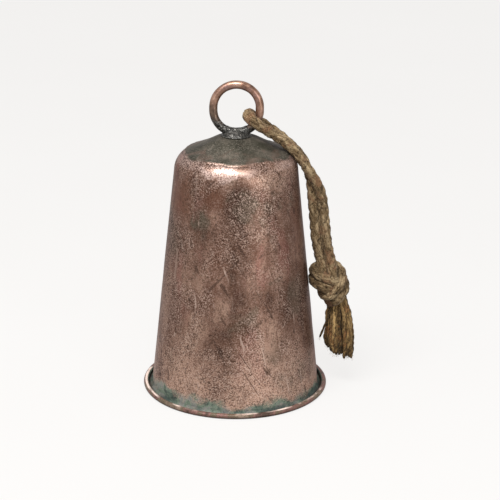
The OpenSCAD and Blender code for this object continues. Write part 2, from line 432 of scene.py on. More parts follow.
COVE_R = (COVE_TOP - HALF) / (1 - LEAN_SIN)
COVE_X = mid_r(COVE_TOP) + COVE_R * LEAN_COS
SHOULDER_MID = SHOULDER_R - HALF
SHOULDER_X = mid_r(SHOULDER_Z + SHOULDER_MID * LEAN_SIN) - SHOULDER_MID * LEAN_COS


# ---------------------------------------------------------------- rope route, repeated from the part
ROPE_AT = math.radians(30)
ROPE_LEAVE = math.radians(37)
ROPE_BEND = RING_BAR + ROPE_R + 0.9
TOUCH = ROPE_R + 0.05
BAR_X = RING_R * math.cos(ROPE_AT)
BAR_Z = RING_Z - RING_STRAIGHT / 2 - RING_R * math.sin(ROPE_AT)
PAIR = [
    (BAR_X, BAR_Z, ROPE_BEND, 0),
    (26, 266, 8.8, 0),
    (34, 261, 7, 0),
    (42, 255.5, 5.7, 0),
    (50, 249, 5, 0),
    (57.2, 242.2, TOUCH, 0),
    (64.2, 233, TOUCH, 0),
    (70.2, 222.5, TOUCH, 10),
    (74.6, 212.5, TOUCH, 30),
    (77.6, 202.5, TOUCH, 55),
    (79.8, 190, TOUCH, 80),
    (81.8, 172, TOUCH, 90),
    (84, 152, TOUCH, 90),
    (87, 137, TOUCH, 90),
    (91, 121, TOUCH, 90),
]


def rope_leg(side):
    """One leg of the doubled rope, from the ring's bar down to the knot, in mm."""
    rows = spline([(x, z, 0, half, turn) for x, z, half, turn in PAIR], 1.0)
    d = unit(np.gradient(rows[:, :2], axis=0))
    half = rows[:, 3]
    turn = np.radians(rows[:, 4])
    out = half * np.sin(turn) * side
    return np.stack(
        [rows[:, 0] - d[:, 1] * out, -half * np.cos(turn) * side, rows[:, 1] + d[:, 0] * out], 1
    )


def rope_route():
    front = rope_leg(1)[::-1]
    back = rope_leg(-1)
    a = np.radians(np.linspace(-78, 78, 14))
    bend = np.stack(
        [
            BAR_X - ROPE_BEND * np.cos(a) * math.cos(ROPE_LEAVE),
            ROPE_BEND * np.sin(a),
            BAR_Z + ROPE_BEND * np.cos(a) * math.sin(ROPE_LEAVE),
        ],
        1,
    )
    return np.vstack([front, bend, back])


# ---------------------------------------------------------------- materials
# Smudges on the front of the bell: [x, z, half width, half height in mm, amount]. x is inside the wall.
SMUDGES = [
    (-24, 214, 15, 14, -0.075),
    (-34, 186, 9, 16, -0.060),
    (6, 205, 20, 18, -0.170),
    (32, 220, 13, 11, 0.070),
    (20, 176, 9, 12, 0.060),
    (51, 172, 8, 30, -0.050),
    (32, 148, 17, 26, 0.085),
    (50, 118, 9, 14, -0.085),
    (-4, 120, 13, 14, -0.045),
    (4, 92, 8, 26, -0.055),
    (34, 82, 18, 22, 0.115),
    (-42, 78, 20, 24, 0.150),
    (-68, 92, 14, 44, 0.120),
    (-5, 46, 10, 24, -0.130),
    (26, 36, 18, 18, 0.150),
    (-50, 36, 22, 16, 0.055),
    (66, 50, 12, 50, -0.090),
]
BROWN_SMUDGES = [
    (-50, 204, 17, 22, 0.75),
    (-22, 212, 13, 15, 0.65),
    (-16, 150, 9, 26, 0.40),
    (58, 180, 8, 50, 0.40),
    (6, 74, 10, 22, 0.45),
]
OLIVE_SMUDGES = [
    (-34, 188, 9, 17, 0.8),
    (12, 200, 11, 12, 0.6),
    (58, 112, 12, 20, 0.5),
    (40, 56, 12, 12, 0.5),
    (-62, 160, 10, 18, 0.5),
]
# Bright shine where light catches the shoulder, as a smudge
SHOULDER_SHINE = (-12, 234, 30, 5, 0.95)
# Dark and light scratches: [lean in radians, noise level where one starts, colour]
SCRATCHES = [
    (0.55, 0.66, (66, 49, 41)),
    (-0.75, 0.68, (72, 54, 46)),
    (0.2, 0.69, (206, 180, 166)),
]
COPPER_TINT = (0.6, 0.56, 0.58, 1)

# Where coats fade in, in metres, from none to full: heights
LIGHTER_FOOT = (0.085, 0.012)
SPECKLED_FOOT = (0.075, 0.030)
WORN_FOOT = (0.090, 0.012)
# Painted highlight band round the shoulder, partly rubbed wear
SHOULDER_WEAR_AND_HIGHLIGHT = (0.2318, 0.2350)
ON_CROWN = (0.232, 0.234)
IN_COVE = (0.0155, 0.0078)
DEEP_GREEN = (0.0085, 0.0040)
LOW_AS_BEAD = (0.009, 0.006)
BEAD_CREST_HIGHLIGHT = (0.0047, 0.0051)
IN_GROOVE = (0.0046, 0.0034)
UNDERSIDE = (0.0032, 0.0012)
# Where painted shade darkens the ring's lower half, and where it turns greyer at the foot
RING_LOWER_SHADE = (0.2865, 0.2750)
RING_FOOT_GREY = (0.2720, 0.2640)
# and distances from the axis
CROWN_EDGE = (0.0520, 0.0492)
BEAD_INSIDE = (0.0878, 0.0884)
GROOVE_INSIDE = (0.0855, 0.0868)
GROOVE_OUTSIDE = (0.0888, 0.0880)
UNDER_RIM = (0.080, 0.084)
BOB_STRUCK = (0.0165, 0.0203)

WARP = 0.034


def spots(s, scale, size, keep):
    """Small separate marks, 1 inside. size is a share of a cell, keep the share of cells used."""
    cell = s.fill(s.node("ShaderNodeTexVoronoi", feature="F1"), Vector=s.place, Scale=scale)
    mark = s.span(cell["Distance"], size, size * 0.55)
    grey = s.fill(s.node("ShaderNodeSeparateColor"), Color=cell["Color"])
    return s.times(mark, s.math("LESS_THAN", grey["Red"], keep))


def smudges(s, place, rows):
    """Sum of soft patches on the wall's front, each shaped by place."""
    total = None
    for x, z, wide, tall, amount in rows:
        y = -math.sqrt(wall_r(z) ** 2 - x * x)
        away = s.vector("SUBTRACT", place, (x * MM, y * MM, z * MM))
        sized = s.stretch((1 / (wide * MM), 1 / (wide * MM), 1 / (tall * MM)), away)
        patch = s.span(s.length(sized), 1.35, 0.45, 0, amount)
        total = patch if total is None else s.plus(total, patch)
    return total


def crown_coat(s, fine, busy):
    """Grey-brown, with warm patches and light and dark specks."""
    grey = s.ramp(
        s.noise(64, 4, 0.64),
        (0.34, (58, 57, 48)),
        (0.48, (76, 73, 63)),
        (0.58, (92, 87, 77)),
        (0.70, (116, 107, 96)),
    )
    return s.layers(
        grey,
        (s.span(s.noise(40, 3, 0.6, distortion=0.6), 0.54, 0.68, 0, 0.4), (124, 94, 82)),
        (s.times(s.span(fine, 0.53, 0.64, 0, 0.8), busy), (140, 132, 122)),
        (s.times(s.span(fine, 0.47, 0.38, 0, 0.8), busy), (44, 42, 38)),
    )


def verdigris_coat(s, fine, z):
    """Patchy green, darker behind the bead."""
    green = s.ramp(
        s.noise(58, 4, 0.66, distortion=0.4),
        (0.36, (70, 80, 74)),
        (0.43, (96, 110, 98)),
        (0.49, (120, 132, 116)),
        (0.55, (130, 130, 126)),
        (0.62, (150, 144, 128)),
        (0.72, (158, 136, 120)),
    )
    deep = s.times(s.span(z, *DEEP_GREEN), s.span(s.noise(36, 3, 0.6), 0.44, 0.58, 0.1, 0.85))
    return s.layers(
        green,
        (deep, (56, 68, 66)),
        (s.span(fine, 0.46, 0.38, 0, 0.7), (42, 50, 44)),
        (s.span(fine, 0.58, 0.68, 0, 0.5), (150, 154, 132)),
    )


def bead_coat(s, fine, z):
    """Brown and grey, with a painted highlight along its crest where the top light catches it."""
    dull = s.ramp(
        s.noise(44, 3, 0.6),
        (0.36, (70, 56, 48)),
        (0.46, (128, 94, 88)),
        (0.54, (98, 86, 70)),
        (0.64, (140, 120, 106)),
    )
    # Painted highlight: a bright line along the bead's crest
    crest_highlight = s.times(s.span(z, *BEAD_CREST_HIGHLIGHT), s.span(s.noise(26, 3, 0.6), 0.47, 0.58))
    return s.layers(dull, (s.span(fine, 0.48, 0.36, 0, 0.8), (70, 62, 50)), (crest_highlight, (240, 218, 206)))


def patina_metal():
    """Antique copper finish: mottled pink-brown, with a grey-brown crown and a green rim."""
    s = Shader("antique_copper", 0.62, 0.42, Specular_IOR_Level=0.2, Specular_Tint=COPPER_TINT)
    shifted = s.vector("MULTIPLY_ADD", s.noise(45, 4, output="Color"), (WARP, WARP, WARP), s.place)
    warped = s.vector("SUBTRACT", shifted, (WARP / 2, WARP / 2, WARP / 2))
    z = s.axis("Z")
    radius = s.length(s.stretch((1, 1, 0)))

    broad = s.noise(15, 3, 0.55, distortion=0.5)
    blotch = s.noise(58, 4, 0.62, s.stretch((1, 1, 0.6)))
    streak = s.noise(120, 3, 0.6, s.stretch((1, 1, 0.09)))
    fine = s.noise(780, 4, 0.76)
    brown = smudges(s, warped, BROWN_SMUDGES)
    # How strongly the fine specks show: in patches, most low down, least in the brown smudges
    busy = s.span(s.noise(24, 3, 0.6, distortion=0.8), 0.40, 0.58, 0.32, 1.0)
    busy = s.math("MAXIMUM", busy, s.span(z, *SPECKLED_FOOT, 0, 0.95))
    busy = s.times(busy, s.span(brown, 0.0, 1.0, 1.0, 0.3))

    # The wall's ground colour, from dark to light
    tone = s.plus(s.times(broad, 0.62), s.times(blotch, 0.40))
    for more in (s.times(streak, 0.20), smudges(s, warped, SMUDGES), -0.114):
        tone = s.plus(tone, more)
    tone = s.plus(tone, s.span(z, *LIGHTER_FOOT, 0, 0.10))
    ground = s.ramp(
        tone,
        (0.38, (88, 63, 52)),
        (0.45, (112, 83, 69)),
        (0.51, (128, 98, 84)),
        (0.57, (146, 114, 98)),
        (0.66, (168, 136, 118)),
    )

    # Its patches, specks and wear, and a painted highlight on the shoulder
    olive = s.span(s.noise(21, 4, 0.62, s.stretch((1, 1, 0.8)), 0.4), 0.55, 0.66, 0, 0.62)
    olive = s.math("MAXIMUM", olive, smudges(s, warped, OLIVE_SMUDGES))
    rose = s.span(s.noise(29, 3, 0.55, s.stretch((1.3, 1.3, 0.45))), 0.57, 0.70, 0, 0.5)
    umber = s.span(s.noise(47, 3, 0.6, s.stretch((1.5, 1.5, 0.5)), 0.5), 0.57, 0.68, 0, 0.55)
    worn = s.span(s.noise(30, 4, 0.7, distortion=0.5), 0.40, 0.60, 0.1, 0.75)
    pepper = s.span(s.noise(300, 5, 0.8, s.stretch((1, 1, 1.2))), 0.45, 0.38, 0, 0.8)
    # Painted highlight: a lighter, whiter band round the shoulder, partly rubbed wear, and a brighter
    # painted patch at its front where the top light falls
    wear_and_highlight = s.span(s.noise(26, 4, 0.7), 0.42, 0.60, 0.0, 0.6)
    wear_and_highlight = s.times(s.span(z, *SHOULDER_WEAR_AND_HIGHLIGHT), wear_and_highlight)
    wear_and_highlight = s.math("MAXIMUM", wear_and_highlight, smudges(s, warped, [SHOULDER_SHINE]))
    vein = s.math("ABSOLUTE", s.math("SUBTRACT", s.noise(95, 3, 0.6, distortion=1.2), 0.5))
    upright = s.noise(150, 1, 0.5, s.stretch((1, 1, 0.02)))
    colour = s.layers(
        ground,
        (olive, (98, 90, 76)),
        (rose, (146, 98, 88)),
        (umber, (98, 66, 52)),
        (s.span(streak, 0.40, 0.30, 0, 0.5), (86, 62, 52)),
        (brown, (118, 82, 66)),
        (s.times(s.span(z, *WORN_FOOT), worn), (212, 172, 150)),
        (s.times(s.span(fine, 0.51, 0.60, 0, 0.8), busy), (210, 184, 170)),
        (s.times(s.span(fine, 0.49, 0.40, 0, 0.84), busy), (64, 47, 40)),
        (s.times(pepper, s.span(blotch, 0.44, 0.58, 0.2, 1.0)), (58, 43, 36)),
        (s.times(wear_and_highlight, s.span(fine, 0.42, 0.54, 0.15, 0.85)), (206, 180, 170)),
        (s.times(s.span(vein, 0.016, 0.004), s.span(blotch, 0.44, 0.56, 0.1, 0.6)), (74, 54, 44)),
        (s.times(spots(s, 210, 0.22, 0.22), 0.6), (54, 42, 36)),
        (s.span(upright, 0.70, 0.74, 0, 0.35), (196, 170, 156)),
    )
    for lean, level, tint in SCRATCHES:
        turn = s.node("ShaderNodeVectorRotate", rotation_type="Y_AXIS")
        leant = s.fill(turn, Vector=s.place, Angle=lean)["Vector"]
        cut = s.noise(170, 2, 0.5, s.stretch((1, 1, 0.06), leant))
        colour = s.mix(s.span(cut, level, level + 0.04, 0, 0.6), colour, tint)

    # Grey-brown crown, down to a wavy line at its edge
    edge = s.plus(radius, s.sway(s.noise(30, 3, 0.55), 0.014))
    edge = s.plus(edge, s.sway(fine, 0.0022))
    crown = s.times(s.span(edge, *CROWN_EDGE), s.span(z, *ON_CROWN))
    # Verdigris in the cove and behind the bead, in patches
    low = s.plus(s.plus(z, s.sway(s.noise(40, 4, 0.62), 0.034)), s.sway(fine, 0.012))
    cove = s.span(low, *IN_COVE)
    bead = s.span(radius, *BEAD_INSIDE)
    # Painted shade: a dark line in the crease where the rolled bead meets the rim
    groove_shade = s.times(s.span(radius, *GROOVE_INSIDE), s.span(radius, *GROOVE_OUTSIDE))
    groove_shade = s.times(groove_shade, s.span(z, *IN_GROOVE, 0, 0.85))
    # Painted shade: the underside of the bead darkened
    underside_shade = s.times(s.span(z, *UNDERSIDE, 0, 0.85), s.span(radius, *UNDER_RIM))
    colour = s.layers(
        colour,
        (crown, crown_coat(s, fine, busy)),
        (s.times(cove, s.math("SUBTRACT", 1.0, bead)), verdigris_coat(s, fine, z)),
        (s.times(bead, s.span(z, *LOW_AS_BEAD)), bead_coat(s, fine, z)),
        (groove_shade, (38, 38, 33)),
        (underside_shade, (58, 45, 40)),
    )

    rough = s.plus(s.span(fine, 0.38, 0.62, 0.24, 0.42), s.span(broad, 0.3, 0.7, -0.03, 0.06))
    rough = s.plus(rough, s.times(s.math("MAXIMUM", crown, cove), 0.14))
    rough = s.plus(rough, s.times(bead, -0.15))
    grain = s.noise(1200, 2, 0.6)
    normal = s.bump(s.plus(fine, s.times(grain, 0.6)), 0.55, 0.00016)
    normal = s.bump(s.noise(52, 2, 0.5), 0.25, 0.0010, normal)
    metal = s.span(s.math("MAXIMUM", cove, s.times(crown, 0.4)), 0, 1, 0.76, 0.22, False)
    return s.finish(colour, rough, metal, normal)


def ring_metal():
    """Rubbed copper bar with painted shade over its lower half, greying towards its brazed foot, sooner
    on the left.
    """
    s = Shader("ring_bar", 0.85, 0.3, Specular_IOR_Level=0.4, Specular_Tint=COPPER_TINT)
    fine = s.noise(560, 3, 0.62)
    copper = s.ramp(
        s.noise(95, 3, 0.6, distortion=0.3),
        (0.32, (110, 82, 68)),
        (0.46, (150, 116, 98)),
        (0.58, (172, 136, 116)),
        (0.72, (186, 154, 138)),
    )
    tan = s.ramp(
        s.noise(170, 4, 0.66), (0.36, (84, 70, 60)), (0.52, (118, 100, 86)), (0.68, (150, 132, 116))
    )
    foot_grey = s.ramp(fine, (0.36, (38, 37, 35)), (0.52, (72, 70, 67)), (0.66, (146, 144, 138)))
    # Painted shade darkens the ring's lower half to a tan tone; near the brazed foot it also turns
    # darker and greyer
    along = s.plus(s.axis("Z"), s.times(s.axis("X"), 0.28))
    z = s.plus(along, s.sway(s.noise(110, 4, 0.66), 0.016))
    foot = s.span(z, *RING_FOOT_GREY)
    colour = s.layers(
        copper,
        (s.span(s.noise(60, 3, 0.6), 0.52, 0.66, 0, 0.6), (168, 136, 132)),
        (s.span(fine, 0.57, 0.68, 0, 0.15), (212, 184, 168)),
        (s.span(fine, 0.43, 0.33, 0, 0.35), (92, 68, 58)),
        (s.span(z, *RING_LOWER_SHADE, 0, 0.9), tan),
        (foot, foot_grey),
    )
    rough = s.plus(s.span(fine, 0.35, 0.65, 0.32, 0.40), s.times(foot, 0.1))
    return s.finish(colour, rough, None, s.bump(fine, 0.25, 0.00010))


def braze_metal():
    """Dark, silvery, speckled braze."""
    s = Shader("braze", 0.65, 0.4, Specular_IOR_Level=0.4)
    fine = s.noise(640, 4, 0.72)
    colour = s.ramp(
        s.plus(s.times(fine, 0.8), s.times(s.noise(150, 3, 0.6), 0.2)),
        (0.38, (28, 28, 27)),
        (0.48, (56, 55, 53)),
        (0.55, (86, 84, 80)),
        (0.61, (122, 120, 115)),
        (0.70, (178, 176, 170)),
    )
    normal = s.bump(s.plus(fine, s.noise(1100, 2, 0.6)), 0.5, 0.00024)
    return s.finish(colour, s.span(fine, 0.4, 0.62, 0.52, 0.32), None, normal)


def dull_steel(name, dark, mid, light, roughness=0.42, rust=0.35):
    """Plain darkened steel with a little rust bloom."""
    s = Shader(name, 0.8, roughness)
    fine = s.noise(700, 3, 0.6)
    bloom = s.span(s.noise(120, 5, 0.7, distortion=0.5), 0.54, 0.7, 0, rust)
    colour = s.layers(
        s.ramp(s.noise(160, 4, 0.6), (0.34, dark), (0.5, mid), (0.68, light)),
        (bloom, (112, 70, 46)),
        (s.span(fine, 0.58, 0.7, 0, 0.4), light),
    )
    rough = s.plus(s.span(fine, 0.3, 0.7, roughness - 0.08, roughness + 0.1), bloom)
    return s.finish(colour, rough, None, s.bump(fine, 0.35, 0.0001))


def cast_metal():
    """Dark cast iron with a sandy skin, and brighter where it strikes."""
    s = Shader("cast_iron_bob", 0.55, 0.55)
    sand = s.noise(900, 4, 0.7)
    struck = s.span(s.math("ABSOLUTE", s.axis("X")), *BOB_STRUCK, 0, 0.8)
    rub = s.times(s.span(s.noise(140, 4, 0.65), 0.44, 0.60), s.plus(struck, 0.15))
    colour = s.layers(
        s.ramp(s.noise(70, 4, 0.6), (0.34, (46, 44, 43)), (0.5, (66, 63, 61)), (0.7, (92, 86, 81))),
        (rub, (156, 150, 142)),
        (s.span(s.noise(150, 5, 0.7), 0.56, 0.7, 0, 0.5), (104, 64, 42)),
    )
    return s.finish(colour, s.span(sand, 0.35, 0.65, 0.42, 0.62), None, s.bump(sand, 0.8, 0.0004))


def jute(name, dark, mid, light, red):
    """Jute yarn: fibres along the yarn, a tint per yarn that carries painted shade in its grooves,
    near-black painted shade in pits, and a soft sheen.
    """
    s = Shader(name, 0.0, 0.85, Sheen_Weight=0.06, Sheen_Roughness=0.5, Specular_IOR_Level=0.1)
    along = s.attribute("fibre", "Vector")
    fibre = s.noise(1.0, 4, 0.7, s.stretch((1.2, 1.2, 0.22), along))
    hairs = s.noise(1.0, 3, 0.75, s.stretch((3.4, 3.4, 0.42), along))
    value = s.plus(s.times(fibre, 0.6), s.times(s.attribute("tint"), 0.26))
    value = s.plus(value, s.times(s.noise(85, 3, 0.62), 0.26))
    colour = s.layers(
        s.ramp(value, (0.40, dark), (0.53, mid), (0.70, light)),
        (s.span(s.noise(62, 3, 0.6, distortion=0.4), 0.53, 0.66, 0, 0.7), red),
        (s.span(hairs, 0.54, 0.66, 0, 0.8), light),
        (s.span(hairs, 0.46, 0.35, 0, 0.85), dark),
        # Near-black pits among the fibres: painted shade
        (s.span(s.noise(400, 3, 0.65), 0.43, 0.35, 0, 0.8), s.mix(0.45, dark, (0, 0, 0))),
    )
    return s.finish(colour, None, None, s.bump(s.plus(fibre, s.times(hairs, 0.7)), 0.8, 0.0005))


PATINA = patina_metal()
RING_METAL = ring_metal()
BRAZE = braze_metal()
WIRE = dull_steel("dull_wire", (58, 54, 50), (86, 80, 74), (122, 114, 104))
ROD_STEEL = dull_steel("rod_steel", (62, 57, 53), (92, 86, 79), (132, 124, 114))
ZINC = dull_steel("dull_zinc", (112, 108, 102), (138, 134, 127), (168, 164, 156), 0.36, 0.2)
IRON = cast_metal()
JUTE = jute("jute_rope", (48, 35, 20), (98, 79, 55), (164, 143, 112), (118, 84, 61))
JUTE_TASSEL = jute("jute_yarn", (38, 26, 12), (98, 75, 45), (172, 142, 96), (120, 78, 46))


# ---------------------------------------------------------------- rope, knot and tassel
rng = np.random.default_rng(11)
LAY = 31.0
YARNS = 6
YARN_LAY = 19.0
HAIR_R = 0.085
SWELL_ROUND = 1.4
SWELL_ALONG = 1.9


def wobble_rows(run, turn, radius):
    """Fine uneven swelling of a yarn's surface, one row per step along it."""
    shift = rng.uniform(0, 50)
    out = np.empty(turn.shape)
    for i, (at, row) in enumerate(zip(run, turn, strict=True)):
        for j, angle in enumerate(row):
            x, y = math.cos(angle) * radius, math.sin(angle) * radius
            out[i, j] = noise.noise((x / SWELL_ROUND, y / SWELL_ROUND, at / SWELL_ALONG + shift))
    return out * 2


def laid_tube(
    builder, path, radius, sides, step, strands=3, lay=LAY, yarns=YARNS, yarn_lay=YARN_LAY,
    phase=0.0, normal=ANY_NORMAL, push=None, taper=None, shade=None,
):
    """One closed skin round a laid rope or plied yarn, in mm: the outline of its strands, with the
    ridges of their yarns. Its mesh turns with the lay, so that the grooves stay sharp."""
    p = resample(path, step)
    n = len(p)
    _, e1, e2 = frames(p, normal=normal)
    run = run_along(p)[:, None]
    a = angles(sides)[None, :]
    share = TAU / strands
    strand = np.floor((a + share / 2) / share).astype(int) % strands
    off = (a + share / 2) % share - share / 2
    centre = (0.27 if strands > 2 else 0.22) * radius
    wave = rng.uniform(0, TAU, (strands, 3))
    swell = 1 + 0.045 * np.sin(run / 17 + wave[strand, 0]) + 0.03 * np.sin(run / 6.1 + wave[strand, 1])
    strand_r = (radius - centre) * swell
    inside = np.maximum(strand_r**2 - (centre * np.sin(off)) ** 2, (0.16 * radius) ** 2)
    r = centre * np.cos(off) + np.sqrt(inside)
    around = np.arctan2(r * np.sin(off), r * np.cos(off) - centre)
    own = around + run / yarn_lay * TAU + 0.3 * np.sin(run / 11 + wave[strand, 2])
    ridge = np.abs(np.cos(own * yarns / 2)) ** 0.7
    r = r + 0.07 * radius * (ridge - 0.62) + 0.02 * radius * np.sin(run * 2.3 + own * 5)
    if taper is not None:
        r = r * taper(run / run[-1])
    r = r + 0.035 * radius * wobble_rows(run[:, 0], a[0] + run[:, 0, None] / lay * TAU, radius)
    turn = a + run / lay * TAU + phase
    out = np.cos(turn)[..., None] * e1[:, None] + np.sin(turn)[..., None] * e2[:, None]
    verts = p[:, None] + r[..., None] * out
    if push is not None:
        verts = push(verts.reshape(-1, 3), 0.15).reshape(n, sides, 3)
    colour = rng.uniform(0, 1, (strands, yarns))
    which = np.floor((own * yarns / TAU) + 0.5).astype(int) % yarns
    # Each yarn's own tint, with painted shade: darker in the grooves between yarns, lighter on their
    # ridges
    tint = colour[np.broadcast_to(strand, which.shape), which] * 0.8 + 0.28 * (ridge - 0.5)
    if shade is not None:
        tint = tint + shade(run / run[-1])
    fibre = turned(2, own, run)
    fibre[..., 0] += strand * 9
    builder.add(verts * MM, tube_faces(n, sides, builder.count), fibre, tint.ravel())


def fuzz(builder, spots, outward, along, count, length, push=None):
    """Short loose fibres that stand off the surface: thin tapered hairs."""
    pick = rng.integers(0, len(spots), count)
    for i in pick:
        size = rng.uniform(*length)
        lengthwise = along[i] * rng.choice([-1, 1]) * rng.uniform(0.5, 1.6)
        lean = unit(lengthwise + outward[i] + rng.normal(0, 0.35, 3))
        curl = rng.normal(0, 0.5, 3)
        u = np.linspace(0, 1, 5)[:, None]
        line = spots[i] + lean * size * u + curl * size * 0.35 * u**2
        if push is not None:
            line = push(line, 0.1)
        r = HAIR_R * (1 - 0.75 * u[:, 0])
        builder.tube(line * MM, r * MM, 3, tint=rng.uniform(0.4, 1.1))


def clear_of_bell(line, margin):
    """Keeps points outside the bell's wall, below the shoulder."""
    line = np.array(line, float)
    rho = np.hypot(line[:, 0], line[:, 1])
    need = np.array([wall_r(z) for z in line[:, 2]]) + margin + 0.12
    low = line[:, 2] < SHOULDER_Z
    short = np.where(low, np.maximum(need - rho, 0), 0)
    scale = (rho + short) / np.maximum(rho, 1e-6)
    line[:, :2] *= scale[:, None]
    return line


def rope_spots(path, radius):
    """Random spots on a rope's surface with their outward and lengthwise directions."""
    p = resample(path, 0.8)
    t, e1, e2 = frames(p)
    a = rng.uniform(0, TAU, len(p))[:, None]
    out = np.cos(a) * e1 + np.sin(a) * e2
    return p + out * radius * 0.9, out, t


ROUTE = resample(rope_route(), 2.0)
rope = Builder()
ROPE_SKIN = 5.0


def rope_taper(u):
    """The rope is fuller where it bends round the ring, halfway along, and a little near the knot."""
    bend = 0.28 * np.exp(-(((u - 0.5) / 0.045) ** 2))
    return 1 + bend + 0.04 * (smoothstep(0.3, 0.12, u) + smoothstep(0.7, 0.88, u))


laid_tube(
    rope, ROUTE, ROPE_SKIN, 54, 0.65, normal=(0, 0, 1), push=clear_of_bell, taper=rope_taper
)
# Fibres packed between its two hanging legs, darkened as painted shade
between = spline([(x, 0, z) for x, z, half, turn in PAIR[7:]], 1.0)
laid_tube(rope, between, 2.6, 18, 1.0, push=clear_of_bell, shade=lambda u: np.full_like(u, -0.25))
fuzz(rope, *rope_spots(ROUTE, ROPE_SKIN), 700, (1.2, 2.8), clear_of_bell)
rope_piece = rope.object("jute_rope", JUTE)

# The doubled overhand knot, in mm round its centre: [x, y, z, outward x, y, z] of the pair's middle
KNOT_AT = np.array([93.2, 0.0, 107.0])
KNOT_TILT = math.radians(14)
KNOT_PAIR = 4.6
KNOT_R = 5.2
KNOT_PATH = [
    (1.0, -0.5, 27, 0, -1, 0),
    (1.0, -3.0, 20, 0, -1, 0),
    (0.5, -6.5, 13, 0, -1, 0.2),
    (0.0, -5.0, 6, 0, -1, 0.2),
    (-1.5, 0.0, -1, -0.3, -1, 0),
    (-3.0, 4.0, -6, -1, 0.3, -0.3),
    (-6.5, 2.5, -10, -1, 0.1, -0.5),
    (-5.5, -6.5, -12, -0.7, -0.8, -0.5),
    (-0.5, -12.0, -11.5, -0.1, -1, -0.4),
    (6.5, -11.5, -7.5, 0.5, -1, -0.2),
    (12.8, -5.5, -2.5, 1, -0.3, 0),
    (13.2, 3.5, 3.5, 1, 0.3, 0.1),
    (8.0, 10.5, 9.0, 0.5, 1, 0.3),
    (-1.0, 12.0, 12.0, -0.1, 1, 0.4),
    (-9.5, 8.0, 13.0, -0.7, 0.7, 0.4),
    (-13.4, 0.5, 12.5, -1, 0, 0.4),
    (-10.5, -8.0, 10.0, -0.7, -0.8, 0.3),
    (-3.0, -12.8, 5.0, -0.1, -1, 0.2),
    (4.0, -10.0, -1.0, 0.4, -1, 0),
    (6.0, -4.0, -6.5, 0.4, -1, 0),
    (3.5, 0.0, -13, 0, -1, 0),
    (1.5, -0.5, -20, 0, -1, 0),
    (1.0, 0.0, -26, 0, -1, 0),
]


def knot_route(side):
    rows = spline(KNOT_PATH, 1.0)
    p = rows[:, :3]
    t = unit(np.gradient(p, axis=0))
    out = unit(rows[:, 3:])
    across = unit(np.cross(t, out))
    p = p + across * KNOT_PAIR * side
    c, s = math.cos(KNOT_TILT), math.sin(KNOT_TILT)
    turn = np.array([[c, 0, -s], [0, 1, 0], [s, 0, c]])
    return p @ turn.T + KNOT_AT


knot = Builder()
# A core inside the knot, darkened as painted shade
core = spline([(-3, 0, 14), (-2, 0, 6), (1, 0, -2), (2.5, 0, -11)], 1.0)
laid_tube(
    knot, core + KNOT_AT, 8.5, 36, 1.0, lay=40, push=clear_of_bell,
    shade=lambda u: np.full_like(u, -0.3),
)
for side in (-1, 1):
    route = knot_route(side)
    laid_tube(knot, route, KNOT_R, 45, 0.8, normal=(0, 1, 0.2), phase=1.3 * side, push=clear_of_bell)
    fuzz(knot, *rope_spots(route, KNOT_R), 150, (1.4, 3.6), clear_of_bell)
knot_piece = knot.object("jute_knot", JUTE)

# The tassel: yarns that leave the knot, spread, and end at a slanted cut
TASSEL_AT = np.array([103.4, 0.0])
TASSEL_TOP = 90.0
tassel = Builder()


def yarn(builder, line, radius, tint):
    """A soft two-ply yarn along a path in mm, browner and ragged at its cut end."""
    laid_tube(
        builder, line, radius, 14, 1.1, strands=2, lay=13.0, yarns=4, yarn_lay=11.0,
        phase=rng.uniform(0, TAU), normal=(1, 0.2, 0),
        taper=lambda u: 1 - 0.5 * smoothstep(0.95, 1.0, u),
        shade=lambda u: tint - 0.5 - 0.5 * smoothstep(0.80, 1.0, u),
    )
    spots, outward, along = rope_spots(line, radius)
    fuzz(builder, spots, outward, along * 2.5, 7, (1.5, 4.0))
    tips = np.repeat(line[-1:], 6, 0) + rng.normal(0, radius * 0.4, (6, 3))
    down = np.tile(unit(line[-1] - line[-3]), (6, 1))
    fuzz(builder, tips, down * 1.4, down, 6, (1.5, 4.2))


def tassel_yarns(builder):
    layers = [(23, 0.90, 1.9, 2.3), (14, 0.60, 1.8, 2.3), (8, 0.32, 1.8, 2.2), (2, 0.08, 1.8, 2.0)]
    for count, share, thin, thick in layers:
        for i in range(count):
            a = (i + rng.uniform(-0.3, 0.3)) / count * TAU + share * 5
            flat = rng.normal(0, 0.55, (6, 2))
            side = np.array([math.cos(a), math.sin(a)])
            end_z = 35.0 - 6.5 * side[0] * share + rng.uniform(-2.0, 2.0)
            rows = [
                (TASSEL_TOP + 3, 8.4, -3.0),
                (84.0, 9.6, -1.2),
                (76.0, 11.4, -0.4),
                (62.0, 13.4, 0.2),
                (50.0, 14.6, 0.4),
                (end_z, 14.0, 0.8),
            ]
            line = [
                (
                    TASSEL_AT[0] + lean + side[0] * r * share + flat[k][0],
                    TASSEL_AT[1] + side[1] * r * share * 0.94 + flat[k][1],
                    z,
                )
                for k, (z, r, lean) in enumerate(rows)
            ]
            yarn(builder, spline(line, 1.3), rng.uniform(thin, thick), rng.uniform(0.1, 1.0))
    stray = spline([(95, -6.5, 84), (91.5, -8.5, 73), (87.5, -9.5, 62), (84.2, -9.5, 53)], 1.3)
    yarn(builder, stray, 1.15, -0.4)


tassel_yarns(tassel)
tassel_piece = tassel.object("jute_tassel", JUTE_TASSEL)

put_on(rope_piece, "rope_loop")
put_on(knot_piece, "rope_knot")
put_on(tassel_piece, "rope_tassel")


# ---------------------------------------------------------------- bell shell
# Gap between parts that touch, in mm
CLOSE = 0.03
SHELL_SIDES = 300
CROWN_SIDES = 240
FILLET_SIDES = 360
DENTS = 46


